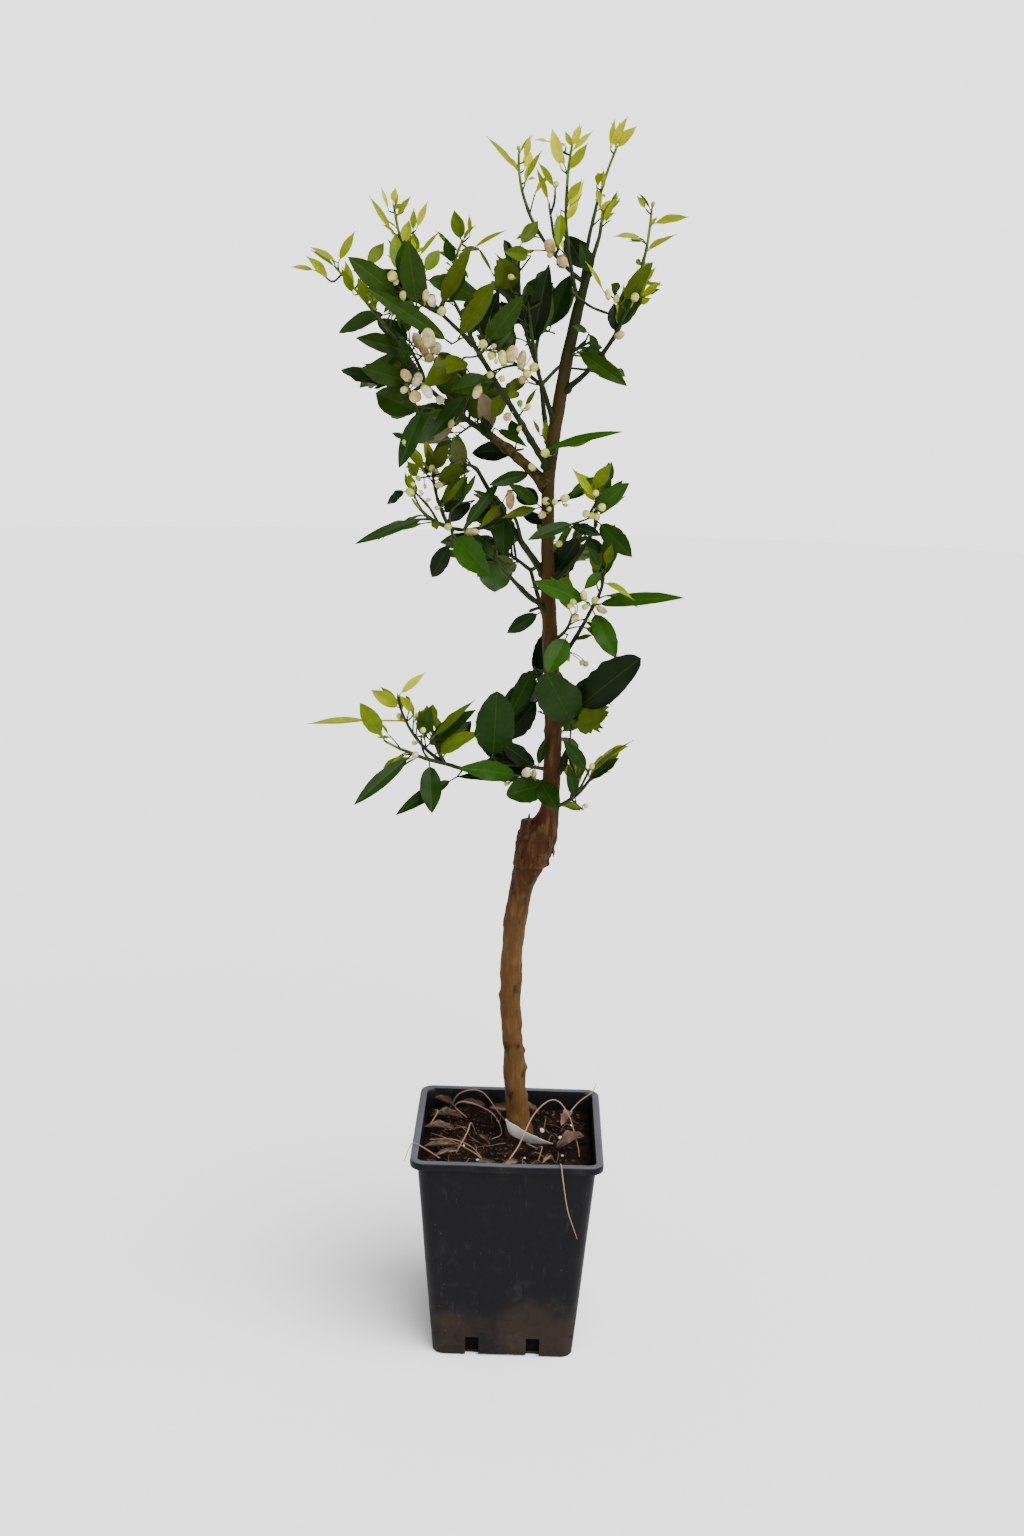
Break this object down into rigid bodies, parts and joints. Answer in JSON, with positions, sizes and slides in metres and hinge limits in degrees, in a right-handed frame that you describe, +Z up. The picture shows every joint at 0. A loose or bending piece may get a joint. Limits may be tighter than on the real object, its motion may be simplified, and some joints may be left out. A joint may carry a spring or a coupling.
{
  "type": "potted clementine tree",
  "caption": "Grafted hernandina clementine tree with leafy boughs, pale young shoots and flower buds, in a square plastic pot of compost.",
  "frame": {"origin": "centre of the pot's flat underside", "axes": "+Z up along the trunk, -Y towards the front of the pot that the picture shows, +X to the right"},
  "size_m": [0.4139, 0.2885, 1.3856],
  "materials": {
    "pot_plastic": "satin",
    "compost": "matte",
    "label_plastic": "satin",
    "bark": "matte",
    "green_bark": "satin",
    "mature_leaf": "glossy",
    "fresh_leaf": "glossy",
    "young_leaf": "satin"
  },
  "bodies": {
    "root": {"pot": "pot_plastic", "soil": "compost", "foot_label": "label_plastic", "trunk": "bark", "low_left_bough": "green_bark", "right_mid_bough": "green_bark", "right_high_bough": "green_bark", "left_mid_bough": "green_bark", "left_long_bough": "green_bark", "left_low_bough": "green_bark", "left_main_bough": "bark", "left_outer_bough": "green_bark", "left_front_bough": "green_bark", "left_top_bough": "green_bark", "centre_bough": "green_bark", "right_upper_bough": "green_bark", "back_low_bough": "green_bark", "back_high_bough": "green_bark", "low_left_tip_leaves": "young_leaf", "low_left_rise_leaves": "young_leaf", "low_left_inner_leaves": "fresh_leaf", "low_trunk_leaves": "mature_leaf", "low_right_leaves": "fresh_leaf", "right_low_leaves": "mature_leaf", "left_low_leaves": "mature_leaf", "left_side_leaves": "mature_leaf", "mid_front_leaves": "fresh_leaf", "right_mid_leaves": "fresh_leaf", "right_high_leaves": "fresh_leaf", "mid_trunk_leaves": "fresh_leaf", "thin_right_leaves": "fresh_leaf", "left_mid_leaves": "mature_leaf", "left_low_cluster": "young_leaf", "left_low_rise": "fresh_leaf", "left_drape_leaves": "fresh_leaf", "left_outer_low": "mature_leaf", "left_outer_mid": "mature_leaf", "left_outer_high": "mature_leaf", "left_top_leaves": "mature_leaf", "left_far_shoot": "young_leaf", "left_rise_shoot": "young_leaf", "left_inner_rise": "young_leaf", "left_inner_top": "fresh_leaf", "left_inner_mid": "fresh_leaf", "centre_left_leaves": "mature_leaf", "centre_right_leaves": "mature_leaf", "centre_top_leaves": "mature_leaf", "top_left_shoot": "young_leaf", "top_centre_shoot": "young_leaf", "top_right_shoot": "young_leaf", "leader_leaves": "young_leaf", "right_cluster_leaves": "fresh_leaf", "right_far_shoot": "young_leaf", "right_leaf_mass": "fresh_leaf", "back_low_left": "mature_leaf", "back_low_right": "fresh_leaf", "back_foot_leaves": "mature_leaf", "back_high_left": "mature_leaf", "back_high_right": "mature_leaf", "left_back_leaves": "mature_leaf"}
  },
  "joints": []
}
